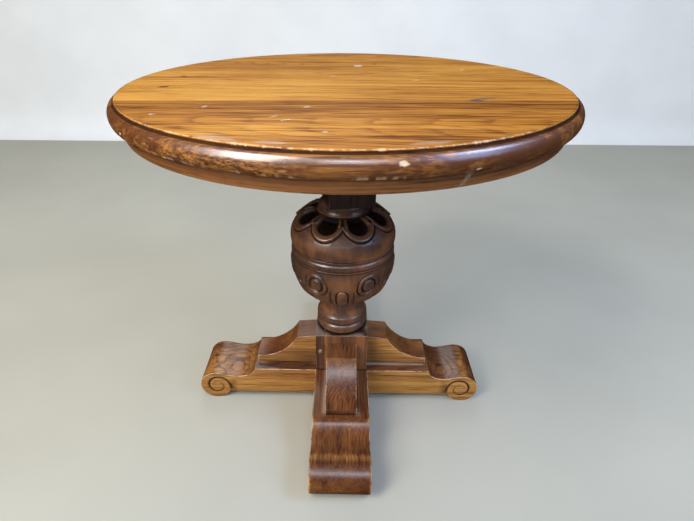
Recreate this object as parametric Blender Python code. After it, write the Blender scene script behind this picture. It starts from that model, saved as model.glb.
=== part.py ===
"""Round pedestal table in stained oak: a moulded round top on one turned column, which stands on
two crossed runners with scrolled ends. Metres, +Z up, origin on the floor under the column's axis.
"""

import math

import bmesh
import bpy
from mathutils import Matrix, Vector

GAP = 0.0003  # air left between pieces that touch

# Driving dimensions
TABLE_HEIGHT = 0.620
TOP_RADIUS = 0.350
TOP_THICKNESS = 0.0315
TOP_TURN = math.radians(1.8)  # the boards lie a little off square to the feet
BOARD_JOINTS = (-0.124, 0.112)  # across the grain, from the axis
RIM_HEIGHT = 0.0198  # the build-up ring glued under the top's edge
RIM_COUNT = 8
COLUMN_RADIUS = 0.095
BLOCK_WIDTH = 0.100
BLOCK_TOP = 0.1614
PACKING_WIDTH = 0.0165  # the board that makes the base block up to its full width
TOP_BLOCK_WIDTH = 0.081
TOP_BLOCK_BOTTOM = 0.424
TOP_BLOCK_TURN = math.radians(12.8)
TOP_BLOCK_SHIFT = 0.007  # it sits to the right of the column's axis
BEARER_LENGTH = 0.480
BEARER_WIDTH = 0.060
BEARER_HEIGHT = 0.036
FOOT_REACH = 0.2875  # from the axis to the tip of each scroll
RIGHT_FOOT_REACH = 0.2760  # the right scroll was cut shorter
FOOT_WIDTH = 0.1035
LEDGE_END = 0.1745
FOOT_TOP = 0.0765
FOOT_CLEARANCE = 0.0165  # under the runners, between the scrolls
SCROLL_RADIUS = 0.0315
BRACKET_WIDTH = 0.0564
BRACKET_TOP = 0.143
BRACKET_REACH = 0.169

# Worked out from them
TOP_UNDERSIDE = TABLE_HEIGHT - TOP_THICKNESS
RIM_BOTTOM = TOP_UNDERSIDE - RIM_HEIGHT
BEARER_TOP = TOP_UNDERSIDE - GAP
BEARER_BOTTOM = BEARER_TOP - BEARER_HEIGHT
BEARER_MIDDLE = BEARER_BOTTOM + BEARER_HEIGHT / 2
LAP_HEIGHT = (FOOT_TOP + FOOT_CLEARANCE) / 2
BLOCK_HALF = BLOCK_WIDTH / 2
PACKING_FACE = -BLOCK_HALF + PACKING_WIDTH
COLUMN_BOTTOM = BLOCK_TOP + GAP
COLUMN_TOP = TOP_BLOCK_BOTTOM - GAP

# Joinery
BOTTOM_TENON = (0.020, 0.055)  # radius, length
TOP_TENON = (0.017, 0.045)
BOARD_DOWEL = (0.005, 0.060)
BRACKET_DOWEL = (0.004, 0.036)
SCREW_RADIUS = 0.0025
SCREW_HEAD_RADIUS = 0.005
SCREW_HEAD_HEIGHT = 0.004
BOLT_RADIUS = 0.005
BOLT_TIP = 0.150
BOLT_HEAD_RADIUS = 0.0095
WASHER_RADIUS = 0.0125
COUNTERBORE_RADIUS = 0.0135
COUNTERBORE_TOP = 0.0265

TOP_STEPS = 96
COLUMN_STEPS = 48
WASHER_STEPS = 24
ROUND_STEPS = 12
ARC_POINTS = 14

OAK = (0.36, 0.17, 0.055)
OAK_DARK = (0.20, 0.085, 0.035)
OAK_BROWN = (0.10, 0.04, 0.022)
OAK_RAW = (0.45, 0.30, 0.16)
BEECH = (0.60, 0.42, 0.25)
STEEL = (0.45, 0.45, 0.46)


def clear_scene():
    for item in list(bpy.data.objects):
        bpy.data.objects.remove(item, do_unlink=True)


def make_material(name, color, roughness, metallic=0.0):
    material = bpy.data.materials.new(name)
    material.use_nodes = True
    shader = material.node_tree.nodes["Principled BSDF"]
    shader.inputs["Base Color"].default_value = (*color, 1.0)
    shader.inputs["Roughness"].default_value = roughness
    shader.inputs["Metallic"].default_value = metallic
    return material


def add_object(name, mesh, color=None, roughness=0.4, metallic=0.0):
    """An object in the scene, with a material of its own when it has a colour."""
    item = bpy.data.objects.new(name, mesh)
    bpy.context.scene.collection.objects.link(item)
    if color:
        mesh.materials.append(make_material(name, color, roughness, metallic))
    return item


def mesh_from(name, build):
    """A mesh with its faces pointing out, filled in by build(bm)."""
    bm = bmesh.new()
    build(bm)
    bmesh.ops.recalc_face_normals(bm, faces=bm.faces)
    mesh = bpy.data.meshes.new(name)
    bm.to_mesh(mesh)
    bm.free()
    return mesh


def box_mesh(name, low, high):
    low, high = Vector(low), Vector(high)
    place = Matrix.Translation((low + high) / 2) @ Matrix.Diagonal((high - low).to_4d())
    return mesh_from(name, lambda bm: bmesh.ops.create_cube(bm, size=1, matrix=place))


def extruded_mesh(name, outline, low, high):
    """An outline of (along, z) points, extruded across from low to high."""

    def build(bm):
        face = bm.faces.new([bm.verts.new((along, low, z)) for along, z in outline])
        grown = bmesh.ops.extrude_face_region(bm, geom=[face])["geom"]
        moved = [v for v in grown if isinstance(v, bmesh.types.BMVert)]
        bmesh.ops.translate(bm, verts=moved, vec=(0, high - low, 0))

    return mesh_from(name, build)


def turned_object(name, profile, steps, **look):
    """A profile of (radius, z) points, from the top of the axis to its bottom, turned on a lathe."""
    points = [(radius, 0, z) for radius, z in profile]
    edges = [(i, i + 1) for i in range(len(points) - 1)]
    mesh = bpy.data.meshes.new(name)
    mesh.from_pydata(points, edges, [])
    item = add_object(name, mesh, **look)
    lathe = item.modifiers.new("Lathe", "SCREW")
    lathe.steps = steps
    lathe.render_steps = steps
    lathe.use_merge_vertices = True
    lathe.merge_threshold = 0.00005
    return item


def arc(center, radii, start, end, points=ARC_POINTS):
    """Points on an ellipse's arc, angles in degrees."""
    angles = [math.radians(start + (end - start) * i / points) for i in range(points + 1)]
    return [(center[0] + radii[0] * math.cos(a), center[1] + radii[1] * math.sin(a)) for a in angles]


def cut(target, cutter, operation="DIFFERENCE"):
    """Cuts target with cutter, which stays in the file as a wire helper."""
    cutter.hide_render = True
    cutter.display_type = "WIRE"
    boolean = target.modifiers.new(cutter.name, "BOOLEAN")
    boolean.operation = operation
    boolean.solver = "EXACT"
    boolean.object = cutter


def fasten(name, profile, place, direction, targets, head_out=0.002, **look):
    """A round fastener along direction, and its hole, wider by the gap, in each target.

    The profile's z runs down from 0 at the head's outer face.
    """
    turn = Vector((0, 0, -1)).rotation_difference(Vector(direction))
    pose = Matrix.Translation(place) @ turn.to_matrix().to_4x4()
    item = turned_object(name, profile, ROUND_STEPS, **look)
    item.matrix_world = pose
    wall = [(radius + GAP, z) for radius, z in profile[1:-1]]
    wide, narrow = wall[0][0], wall[-1][0]
    end = wall[-1][1] - GAP
    hole = [(0, head_out), (wide, head_out), *wall[:-1], (narrow, end), (0, end)]
    cutter = turned_object(name + "_hole", hole, ROUND_STEPS)
    cutter.matrix_world = pose
    for target in targets:
        cut(target, cutter)


def screw_profile(length):
    return [
        (0, 0),
        (SCREW_HEAD_RADIUS, 0),
        (SCREW_RADIUS, -SCREW_HEAD_HEIGHT),
        (SCREW_RADIUS, -length),
        (0, -length),
    ]


def dowel_profile(size):
    radius, length = size
    return [(0, 0), (radius, 0), (radius, -length), (0, -length)]


def edge_profile():
    """The top in section: a flat face, a quirk, a bullnose and a flat underside."""
    flat_radius = TOP_RADIUS - 0.011
    quirk = 0.0035
    nose_height = 0.0135  # half the bullnose
    nose_depth = 0.0095
    center = (TOP_RADIUS - nose_depth, TOP_UNDERSIDE + nose_height)
    return [
        (0, TABLE_HEIGHT),
        (flat_radius, TABLE_HEIGHT),
        (flat_radius, TABLE_HEIGHT - quirk),
        *arc(center, (nose_depth, nose_height), 78, 0, 4),
        *arc(center, (nose_depth, nose_height), 0, -90, 5)[1:],
        (0, TOP_UNDERSIDE),
    ]


def make_top_boards():
    """Three wide boards, glued edge to edge and turned round together."""
    reach = TOP_RADIUS + 0.05
    edges = [-reach, *BOARD_JOINTS, reach]
    boards = []
    for name, low, high in zip(("front", "middle", "back"), edges, edges[1:]):
        board = turned_object(f"top_board_{name}", edge_profile(), TOP_STEPS, color=OAK, roughness=0.3)
        low_corner = (-reach, low + GAP / 2, TOP_UNDERSIDE - 0.05)
        high_corner = (reach, high - GAP / 2, TABLE_HEIGHT + 0.05)
        strip = add_object(f"strip_{name}", box_mesh(f"strip_{name}", low_corner, high_corner))
        strip.rotation_euler.z = TOP_TURN
        cut(board, strip, "INTERSECT")
        boards.append(board)
    turn = Matrix.Rotation(TOP_TURN, 3, "Z")
    height = TOP_UNDERSIDE + TOP_THICKNESS / 2
    for joint, name, pair in zip(BOARD_JOINTS, ("front", "back"), zip(boards, boards[1:])):
        for number, x in enumerate((-0.21, -0.07, 0.07, 0.21), 1):
            place = turn @ Vector((x, joint - BOARD_DOWEL[1] / 2, height))
            profile = dowel_profile(BOARD_DOWEL)
            across = turn @ Vector((0, 1, 0))
            dowel = f"board_dowel_{name}_{number}"
            fasten(dowel, profile, place, across, pair, head_out=GAP, color=BEECH, roughness=0.7)
    return boards


def make_rim_segments():
    """The ring that thickens the edge: straight-backed blocks, mitred end to end and turned outside."""
    inner_apothem = 0.255
    levels = [(RIM_BOTTOM, 0.3305), (RIM_BOTTOM + 0.0015, 0.332), (TOP_UNDERSIDE - GAP, 0.3375)]
    half_angle = math.pi / RIM_COUNT
    chords = TOP_STEPS // RIM_COUNT
    for index in range(RIM_COUNT):
        middle = 2 * half_angle * index
        across = Vector((-math.sin(middle), math.cos(middle), 0))
        out = Vector((math.cos(middle), math.sin(middle), 0))

        def build(bm):
            loops = []
            for z, radius in levels:
                ring = []
                for i in range(chords + 1):
                    angle = half_angle * (2 * i / chords - 1)
                    inset = GAP / 2 * (1 - 2 * i / chords)
                    offset = radius * math.sin(angle) + inset
                    ring.append(out * radius * math.cos(angle) + across * offset)
                for side in (1, -1):
                    reach = inner_apothem * math.tan(half_angle) - GAP / 2
                    ring.append(out * inner_apothem + across * side * reach)
                loops.append([bm.verts.new(point + Vector((0, 0, z))) for point in ring])
            count = len(loops[0])
            bm.faces.new(loops[0])
            bm.faces.new(loops[-1])
            for low, high in zip(loops, loops[1:]):
                for i in range(count):
                    bm.faces.new((low[i], low[(i + 1) % count], high[(i + 1) % count], high[i]))

        name = f"rim_segment_{index + 1}"
        add_object(name, mesh_from(name, build), color=OAK_DARK, roughness=0.35)


def lapped_bar(name, outline, half_width, lap, turned, **look):
    """A bar along X, or along Y when turned, with a half-lap cut out of it between the lap's heights."""
    bar = add_object(name, extruded_mesh(name, outline, -half_width, half_width), **look)
    reach = half_width + GAP
    notch_mesh = box_mesh(name + "_lap", (-reach, -reach * 2, lap[0]), (reach, reach * 2, lap[1]))
    notch = add_object(name + "_lap", notch_mesh)
    if turned:
        bar.rotation_euler.z = math.pi / 2
        notch.rotation_euler.z = math.pi / 2
    cut(bar, notch)
    return bar


def make_bearers():
    """Two crossed bars under the top, which carry it on the top block."""
    half = BEARER_LENGTH / 2
    slope = 0.014
    outline = [
        (-half, BEARER_TOP),
        (-half, BEARER_MIDDLE),
        (-half + slope, BEARER_BOTTOM),
        (half - slope, BEARER_BOTTOM),
        (half, BEARER_MIDDLE),
        (half, BEARER_TOP),
    ]
    look = {"color": OAK_RAW, "roughness": 0.7}
    below = (BEARER_BOTTOM - 0.01, BEARER_MIDDLE + GAP / 2)
    above = (BEARER_MIDDLE - GAP / 2, BEARER_TOP + 0.01)
    long_bearer = lapped_bar("bearer_along", outline, BEARER_WIDTH / 2, below, False, **look)
    cross_bearer = lapped_bar("bearer_across", outline, BEARER_WIDTH / 2, above, True, **look)
    return long_bearer, cross_bearer


def make_top_block():
    low = (-TOP_BLOCK_WIDTH / 2, -TOP_BLOCK_WIDTH / 2, TOP_BLOCK_BOTTOM)
    high = (TOP_BLOCK_WIDTH / 2, TOP_BLOCK_WIDTH / 2, BEARER_BOTTOM - GAP)
    block = add_object("top_block", box_mesh("top_block", low, high), color=OAK_BROWN, roughness=0.35)
    block.location.x = TOP_BLOCK_SHIFT
    block.rotation_euler.z = TOP_BLOCK_TURN
    return block


def column_profile():
    """The turned column in section: collar, cover, notch, ring, cup, neck and foot ring."""
    collar = 0.0445
    cover = (0.045, 0.361)
    cup = (0.0485, 0.3157)
    neck = 0.0425
    flare = 0.190
    ring_height = 0.0095
    ring_middle = COLUMN_BOTTOM + ring_height
    return [
        (0, COLUMN_TOP + TOP_TENON[1]),
        (TOP_TENON[0], COLUMN_TOP + TOP_TENON[1]),
        (TOP_TENON[0], COLUMN_TOP),
        (collar - 0.003, COLUMN_TOP),
        (collar, COLUMN_TOP - 0.004),
        (collar, 0.409),
        *arc(cover, (COLUMN_RADIUS - cover[0], 0.0458), 86, -17, 11),
        (0.0870, 0.3450),
        (0.0870, 0.3425),
        *arc((0.0885, 0.3335), (0.0060, 0.0085), 90, -60, 6),
        (0.0910, 0.3260),
        *arc(cup, (COLUMN_RADIUS - cup[0], 0.0766), 5, -86, 11),
        (neck + 0.001, 0.2375),
        (neck, 0.2340),
        (neck, 0.212),
        *arc((0.0590, flare + 0.022), (0.0165, 0.022), 180, 225, 3)[1:],
        (0.0475, flare - 0.002),
        (0.0475, 0.1865),
        (0.0440, 0.1835),
        *arc((0.0405, ring_middle), (0.0070, ring_height), 75, -90, 6),
        (BOTTOM_TENON[0], COLUMN_BOTTOM),
        (BOTTOM_TENON[0], COLUMN_BOTTOM - BOTTOM_TENON[1]),
        (0, COLUMN_BOTTOM - BOTTOM_TENON[1]),
    ]


def socket(target, name, radius, low, high):
    """A round socket for a tenon, cut from below or above between two heights."""
    profile = [(0, high), (radius + GAP, high), (radius + GAP, low), (0, low)]
    cut(target, turned_object(name, profile, COLUMN_STEPS))


def make_column(top_block, base_block):
    column = turned_object("column", column_profile(), COLUMN_STEPS, color=OAK_BROWN, roughness=0.3)
    top = COLUMN_TOP + TOP_TENON[1] + GAP
    bottom = COLUMN_BOTTOM - BOTTOM_TENON[1] - GAP
    socket(top_block, "top_socket", TOP_TENON[0], TOP_BLOCK_BOTTOM - 0.01, top)
    socket(base_block, "bottom_socket", BOTTOM_TENON[0], bottom, BLOCK_TOP + 0.01)
    return column


def make_base_block():
    """The square block on the crossing, built up to width by a packing board on its left."""
    bottom = FOOT_TOP + GAP
    low = (PACKING_FACE + GAP, -BLOCK_HALF, bottom)
    mesh = box_mesh("base_block", low, (BLOCK_HALF, BLOCK_HALF, BLOCK_TOP))
    block = add_object("base_block", mesh, color=OAK_DARK, roughness=0.35)
    low = (-BLOCK_HALF, -BLOCK_HALF, bottom)
    mesh = box_mesh("packing_board", low, (PACKING_FACE, BLOCK_HALF, BLOCK_TOP))
    packing = add_object("packing_board", mesh, color=OAK_BROWN, roughness=0.4)
    return block, packing


def foot_outline(reach):
    """One end of a runner from the side: the hollow beyond its ledge, and the scroll."""
    center = (reach - SCROLL_RADIUS, SCROLL_RADIUS)
    hollow_height = 0.0565
    hollow_end = LEDGE_END + 0.44 * (center[0] - LEDGE_END)
    hollow_radii = (hollow_end - LEDGE_END, FOOT_TOP - hollow_height)
    hollow = arc((hollow_end, FOOT_TOP), hollow_radii, 180, 270, 6)
    rise = []
    for i in range(1, 6):
        share = i / 6
        height = hollow_height + (2 * SCROLL_RADIUS - hollow_height) * (1 - math.cos(math.pi * share)) / 2
        rise.append((hollow_end + (center[0] - hollow_end) * share, height))
    turn = math.degrees(math.asin(1 - FOOT_CLEARANCE / SCROLL_RADIUS))
    radii = (SCROLL_RADIUS, SCROLL_RADIUS)
    scroll = arc(center, radii, 90, -90, 16) + arc(center, radii, -90, -180 + turn, 5)[1:]
    return [*hollow, *rise, *scroll]


def runner_outline(right_reach):
    """A runner from the side, clear of the floor between its scrolls."""
    left = [(-x, z) for x, z in reversed(foot_outline(FOOT_REACH))]
    return [*foot_outline(right_reach), *left]


def make_runners():
    look = {"color": OAK, "roughness": 0.35}
    above = (LAP_HEIGHT - GAP / 2, FOOT_TOP + 0.01)
    below = (FOOT_CLEARANCE - 0.01, LAP_HEIGHT + GAP / 2)
    side_outline = runner_outline(RIGHT_FOOT_REACH)
    long_outline = runner_outline(FOOT_REACH)
    side_runner = lapped_bar("runner_side_to_side", side_outline, FOOT_WIDTH / 2, above, False, **look)
    long_runner = lapped_bar("runner_front_to_back", long_outline, FOOT_WIDTH / 2, below, True, **look)
    return side_runner, long_runner


def bracket_outline():
    """A bracket from the side: flat cap, hollow slope and a short upright end."""
    bottom = FOOT_TOP + GAP
    end_height = 0.0147
    cap_end = 0.087
    run = BRACKET_REACH - cap_end
    rise = BRACKET_TOP - FOOT_TOP - end_height
    radius = (run**2 + rise**2) / (2 * rise)
    start = math.degrees(math.acos(run / radius))
    low = (BRACKET_REACH, FOOT_TOP + end_height + radius)
    hollow = arc(low, (radius, radius), 180 + start, 270, 9)
    start_x = BLOCK_HALF + GAP
    return [(start_x, bottom), (start_x, BRACKET_TOP), *hollow, (BRACKET_REACH, bottom)]


def make_brackets():
    """Four brackets, from the block down to the ledge of each foot."""
    brackets = []
    half = BRACKET_WIDTH / 2
    for index, side in enumerate(("right", "back", "left", "front")):
        name = f"bracket_{side}"
        mesh = extruded_mesh(name, bracket_outline(), -half, half)
        bracket = add_object(name, mesh, color=OAK_DARK, roughness=0.35)
        bracket.rotation_euler.z = index * math.pi / 2
        brackets.append(bracket)
    return brackets


def fix_top(boards, bearers, top_block):
    """Screws up through the bearers into the boards, and down through them into the top block."""
    steel = {"color": STEEL, "roughness": 0.4, "metallic": 1.0}
    length = 0.054
    number = 0
    for bearer, turned in zip(bearers, (False, True)):
        for along in (-0.20, -0.08, 0.08, 0.20):
            number += 1
            x, y = (0, along) if turned else (along, 0)
            board = boards[sum(y > joint for joint in BOARD_JOINTS)]
            place = (x, y, BEARER_BOTTOM)
            fasten(f"top_screw_{number}", screw_profile(length), place, (0, 0, 1), [bearer, board], **steel)
    for side, x in (("left", -0.026), ("right", 0.026)):
        targets = [*bearers, top_block]
        place = (x, 0, BEARER_TOP)
        fasten(f"block_screw_{side}", screw_profile(0.080), place, (0, 0, -1), targets, **steel)


def fix_feet(runners, block, packing, brackets):
    """Screws from below into the base block and the brackets, and a dowel behind each bracket."""
    steel = {"color": STEEL, "roughness": 0.4, "metallic": 1.0}
    corners = [(x, y) for x in (-0.026, 0.026) for y in (-0.034, 0.034)]
    for number, (x, y) in enumerate(corners, 1):
        place = (x, y, FOOT_CLEARANCE)
        targets = [*runners, block]
        fasten(f"foot_screw_{number}", screw_profile(0.090), place, (0, 0, 1), targets, **steel)
    for index, bracket in enumerate(brackets):
        side = bracket.name.split("_")[1]
        out = Matrix.Rotation(index * math.pi / 2, 3, "Z") @ Vector((1, 0, 0))
        runner = runners[index % 2]
        place = out * 0.120 + Vector((0, 0, FOOT_CLEARANCE))
        fasten(f"bracket_screw_{side}", screw_profile(0.074), place, (0, 0, 1), [runner, bracket], **steel)
        place = out * (BLOCK_HALF + BRACKET_DOWEL[1] / 2) + Vector((0, 0, 0.115))
        targets = [bracket, block, packing] if side == "left" else [bracket, block]
        profile = dowel_profile(BRACKET_DOWEL)
        name = f"bracket_dowel_{side}"
        fasten(name, profile, place, -out, targets, head_out=GAP, color=BEECH, roughness=0.7)


def make_column_bolt(column, runners, block):
    """The lag bolt that pulls the column down on the crossing, in a counterbore under the runners."""
    steel = {"color": STEEL, "roughness": 0.35, "metallic": 1.0}
    washer_top = COUNTERBORE_TOP - GAP
    washer_bottom = washer_top - 0.0015
    head_top = washer_bottom - GAP
    head_bottom = head_top - 0.0065
    hole = BOLT_RADIUS + GAP
    rim = [(WASHER_RADIUS, washer_top), (WASHER_RADIUS, washer_bottom)]
    ring = [(hole, washer_top), *rim, (hole, washer_bottom), (hole, washer_top)]
    turned_object("bolt_washer", ring, WASHER_STEPS, **steel)
    shank = [(0, BOLT_TIP), (BOLT_RADIUS, BOLT_TIP), (BOLT_RADIUS, head_top)]
    head = [(BOLT_HEAD_RADIUS, head_top), (BOLT_HEAD_RADIUS, head_bottom), (0, head_bottom)]
    turned_object("column_bolt", [*shank, *head], ROUND_STEPS, **steel)
    tip = BOLT_TIP + GAP
    bore = [(0, tip), (hole, tip), (hole, COUNTERBORE_TOP), (COUNTERBORE_RADIUS, COUNTERBORE_TOP)]
    below = FOOT_CLEARANCE - 0.01
    bore += [(COUNTERBORE_RADIUS, below), (0, below)]
    cutter = turned_object("bolt_hole", bore, WASHER_STEPS)
    for target in (column, *runners, block):
        cut(target, cutter)


def smooth_round_pieces():
    """Smooth shading on what was turned, with its hard edges kept."""
    for item in bpy.data.objects:
        lathe = item.modifiers.get("Lathe")
        if lathe:
            lathe.use_smooth_shade = not item.hide_render


def main():
    clear_scene()
    boards = make_top_boards()
    make_rim_segments()
    bearers = make_bearers()
    top_block = make_top_block()
    base_block, packing = make_base_block()
    column = make_column(top_block, base_block)
    runners = make_runners()
    brackets = make_brackets()
    fix_top(boards, bearers, top_block)
    fix_feet(runners, base_block, packing, brackets)
    make_column_bolt(column, runners, base_block)
    smooth_round_pieces()


main()
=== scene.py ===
"""Looks of the round pedestal table: carved and moulded oak with stain, gloss and wear. Metres, +Z up."""

import functools
import itertools
import math

import bmesh
import bpy
import numpy as np
from mathutils import Matrix, Vector
from mathutils.geometry import delaunay_2d_cdt


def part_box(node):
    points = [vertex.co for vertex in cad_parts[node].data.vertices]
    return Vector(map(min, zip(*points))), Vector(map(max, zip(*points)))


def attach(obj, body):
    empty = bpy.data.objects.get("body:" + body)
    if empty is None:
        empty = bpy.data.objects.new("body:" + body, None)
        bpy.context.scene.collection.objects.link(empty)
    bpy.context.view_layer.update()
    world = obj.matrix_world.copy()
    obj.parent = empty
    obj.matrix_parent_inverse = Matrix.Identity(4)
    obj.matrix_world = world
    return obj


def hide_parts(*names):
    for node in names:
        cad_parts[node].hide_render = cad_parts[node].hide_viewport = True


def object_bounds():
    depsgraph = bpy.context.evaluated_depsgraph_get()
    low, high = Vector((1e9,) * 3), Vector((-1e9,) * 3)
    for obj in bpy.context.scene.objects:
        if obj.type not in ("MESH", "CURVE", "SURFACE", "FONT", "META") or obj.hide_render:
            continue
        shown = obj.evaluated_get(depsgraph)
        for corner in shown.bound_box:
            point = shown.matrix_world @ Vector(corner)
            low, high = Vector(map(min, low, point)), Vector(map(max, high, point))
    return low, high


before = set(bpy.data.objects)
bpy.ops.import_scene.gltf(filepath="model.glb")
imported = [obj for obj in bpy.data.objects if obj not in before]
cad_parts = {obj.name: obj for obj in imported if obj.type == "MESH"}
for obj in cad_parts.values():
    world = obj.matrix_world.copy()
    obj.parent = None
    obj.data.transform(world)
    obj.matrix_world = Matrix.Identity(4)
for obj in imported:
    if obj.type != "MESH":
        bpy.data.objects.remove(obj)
cad_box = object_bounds()
SCENE = bpy.context.scene

# Sizes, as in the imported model
GAP = 0.0003
# Radii that lengths round the edge and round the rim are measured on
EDGE_RADIUS = 0.35
RIM_RADIUS = 0.33
RIM_INSIDE = 0.255
TOP_HEIGHT = cad_box[1][2]
TOP_RADIUS = cad_box[1][0]
TOP_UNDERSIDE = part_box("top_board_middle")[0][2]
FLAT_RADIUS = TOP_RADIUS - 0.011
BOARD_JOINTS = (-0.124, 0.112)
TOP_TURN = math.radians(1.8)
RIM_LOW, RIM_HIGH = (corner[2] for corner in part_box("rim_segment_1"))
RIM_COUNT = 8
COLLAR_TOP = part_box("top_block")[0][2] - GAP
COLUMN_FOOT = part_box("base_block")[1][2] + GAP
FOOT_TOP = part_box("base_block")[0][2] - GAP
BLOCK_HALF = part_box("base_block")[1][0]
FOOT_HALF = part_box("runner_side_to_side")[1][1]
FRONT_REACH = -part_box("runner_front_to_back")[0][1]
RIGHT_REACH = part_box("runner_side_to_side")[1][0]
TOP_BLOCK_HALF = 0.0405
TOP_BLOCK_TURN = math.radians(12.8)
LEDGE_END = 0.1745
FOOT_CLEARANCE = 0.0165
SCROLL_RADIUS = 0.0315
BRACKET_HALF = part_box("bracket_front")[1][0]
BRACKET_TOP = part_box("bracket_front")[1][2]
BRACKET_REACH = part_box("bracket_right")[1][0]
# Degrees at which an edge stays sharp: on sawn and moulded pieces, and on the carving
SHARP = 50
CARVING_SHARP = 70

# ---------------------------------------------------------------- shapes


def noise(points, seed=0.0):
    """Smooth noise from 0 to 1, one feature to a unit of length, for an array of points."""
    points = np.asarray(points, float)
    cell = np.floor(points)
    share = points - cell
    share = share * share * (3 - 2 * share)
    primes = np.array([1.0, 57.0, 113.0])[: points.shape[1]]
    total = np.zeros(len(points))
    for corner in itertools.product((0, 1), repeat=points.shape[1]):
        key = (cell + corner) @ primes + seed
        value = np.sin(key * 12.9898) * 43758.5453
        weight = np.prod(np.where(corner, share, 1 - share), axis=1)
        total += weight * (value - np.floor(value))
    return total


def field(columns, seed):
    """The same noise, from one array for each coordinate."""
    return noise(np.stack(columns, axis=1), seed)


def step(value, low, high):
    """0 below low and 1 above high, eased between, whichever of them is larger."""
    share = np.clip((value - low) / (high - low), 0, 1)
    return share * share * (3 - 2 * share)


def bump(value, center, width):
    """1 at the centre, falling smoothly to 0 at width away."""
    return step(np.abs(value - center), width, 0)


def arc(center, radii, start, end, points):
    """Points on an ellipse's arc, angles in degrees."""
    angles = np.radians(np.linspace(start, end, points + 1))
    return [(center[0] + radii[0] * math.cos(a), center[1] + radii[1] * math.sin(a)) for a in angles]


def refine(line, spacing):
    """The same polyline with more points on it, none further apart than spacing. Corners stay."""
    line = [np.array(point, float) for point in line]
    out = [line[0]]
    for start, end in zip(line, line[1:]):
        count = max(1, math.ceil(np.linalg.norm(end - start) / spacing))
        out += [start + (end - start) * i / count for i in range(1, count + 1)]
    return np.array(out)


def strongest(*shares):
    """The largest of several shares at each point."""
    return functools.reduce(np.maximum, shares)


def slice_mesh(bm, place, direction, **settings):
    """Cut the whole bmesh by a plane."""
    everything = bm.verts[:] + bm.edges[:] + bm.faces[:]
    bmesh.ops.bisect_plane(bm, geom=everything, plane_co=place, plane_no=direction, **settings)


def unpack(bm):
    """(points, faces) of a bmesh, which is freed."""
    bm.verts.ensure_lookup_table()
    points = np.array([v.co[:] for v in bm.verts])
    faces = [[v.index for v in face.verts] for face in bm.faces]
    bm.free()
    return points, faces


def make_object(name, data):
    """A linked object with this mesh, lamp or camera."""
    item = bpy.data.objects.new(name, data)
    SCENE.collection.objects.link(item)
    return item


def piece(name, points, faces, material, nodes, marks, sharp):
    """A mesh object that stands for the CAD nodes, with its marks kept as vertex attributes.

    Edges between faces that turn by more than sharp degrees stay sharp.
    """
    mesh = bpy.data.meshes.new(name)
    mesh.from_pydata(np.asarray(points).tolist(), [], faces)
    for key, values in marks.items():
        values = np.asarray(values, np.float32)
        if values.ndim == 2:
            mesh.attributes.new(key, "FLOAT_VECTOR", "POINT").data.foreach_set("vector", values.ravel())
        else:
            mesh.attributes.new(key, "FLOAT", "POINT").data.foreach_set("value", values)
    mesh.materials.append(material)
    item = make_object(name, mesh)
    mesh.shade_smooth()
    mesh.set_sharp_from_angle(angle=math.radians(sharp))
    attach(item, "root")
    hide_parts(*nodes)
    return item


def lathe(profile, steps):
    """(points, faces, angles) of a profile of (radius, z) turned round Z; angle 0 is the front, -Y."""
    angles = np.linspace(0, 2 * math.pi, steps, endpoint=False)
    radius, height = profile[:, :1], profile[:, 1:]
    points = np.stack([radius * np.sin(angles), -radius * np.cos(angles), height + 0 * angles], axis=2)
    rows = len(profile)
    index = np.arange(rows * steps).reshape(rows, steps)
    turned = np.roll(index, -1, axis=1)
    quads = np.stack([index[:-1], index[1:], turned[1:], turned[:-1]], axis=2).reshape(-1, 4)
    faces = quads.tolist() + [index[0].tolist(), index[-1][::-1].tolist()]
    return points, faces, angles


def nearest(angle, first, spacing):
    """How far each angle is from the nearest of a ring of evenly spaced ones."""
    return (angle - first + spacing / 2) % spacing - spacing / 2


# ---------------------------------------------------------------- materials


class Wood:
    """Node building for one material, oak in most cases."""

    def __init__(self, name):
        self.material = bpy.data.materials.new(name)
        self.material.use_nodes = True
        self.tree = self.material.node_tree
        self.shader = self.tree.nodes["Principled BSDF"]

    def node(self, kind, links=None, **settings):
        made = self.tree.nodes.new("ShaderNode" + kind)
        for key, value in settings.items():
            setattr(made, key, value)
        for key, value in (links or {}).items():
            if isinstance(value, bpy.types.NodeSocket):
                self.tree.links.new(value, made.inputs[key])
            else:
                made.inputs[key].default_value = value
        return made

    def math(self, operation, *values):
        return self.node("Math", dict(enumerate(values)), operation=operation).outputs[0]

    def add(self, first, second):
        return self.math("ADD", first, second)

    def less(self, first, second):
        return self.math("SUBTRACT", first, second)

    def times(self, first, second):
        return self.math("MULTIPLY", first, second)

    def band(self, value, low, high, to_low=0.0, to_high=1.0):
        links = {"Value": value, "From Min": low, "From Max": high, "To Min": to_low, "To Max": to_high}
        return self.node("MapRange", links, interpolation_type="SMOOTHSTEP").outputs["Result"]

    def mix(self, share, first, second, blend="MIX"):
        links = {0: share, 6: first, 7: second}
        return self.node("Mix", links, data_type="RGBA", blend_type=blend).outputs[2]

    def ramp(self, value, stops):
        made = self.node("ValToRGB", {"Fac": value})
        elements = made.color_ramp.elements
        while len(elements) < len(stops):
            elements.new(0.5)
        for element, (place, color) in zip(elements, stops):
            element.position = place
            element.color = (*color, 1)
        return made.outputs["Color"]

    def feed(self, socket, value):
        self.tree.links.new(value, self.shader.inputs[socket])

    def scaled(self, vector, scale):
        return self.node("VectorMath", {0: vector, 1: scale}, operation="MULTIPLY").outputs["Vector"]

    def noise(self, vector, scale, detail=2.0, roughness=0.5):
        links = {"Vector": self.scaled(vector, scale), "Scale": 1.0, "Detail": detail, "Roughness": roughness}
        return self.node("TexNoise", links).outputs["Fac"]

    def mark(self, name):
        return self.node("Attribute", attribute_name=name).outputs["Fac"]


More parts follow.
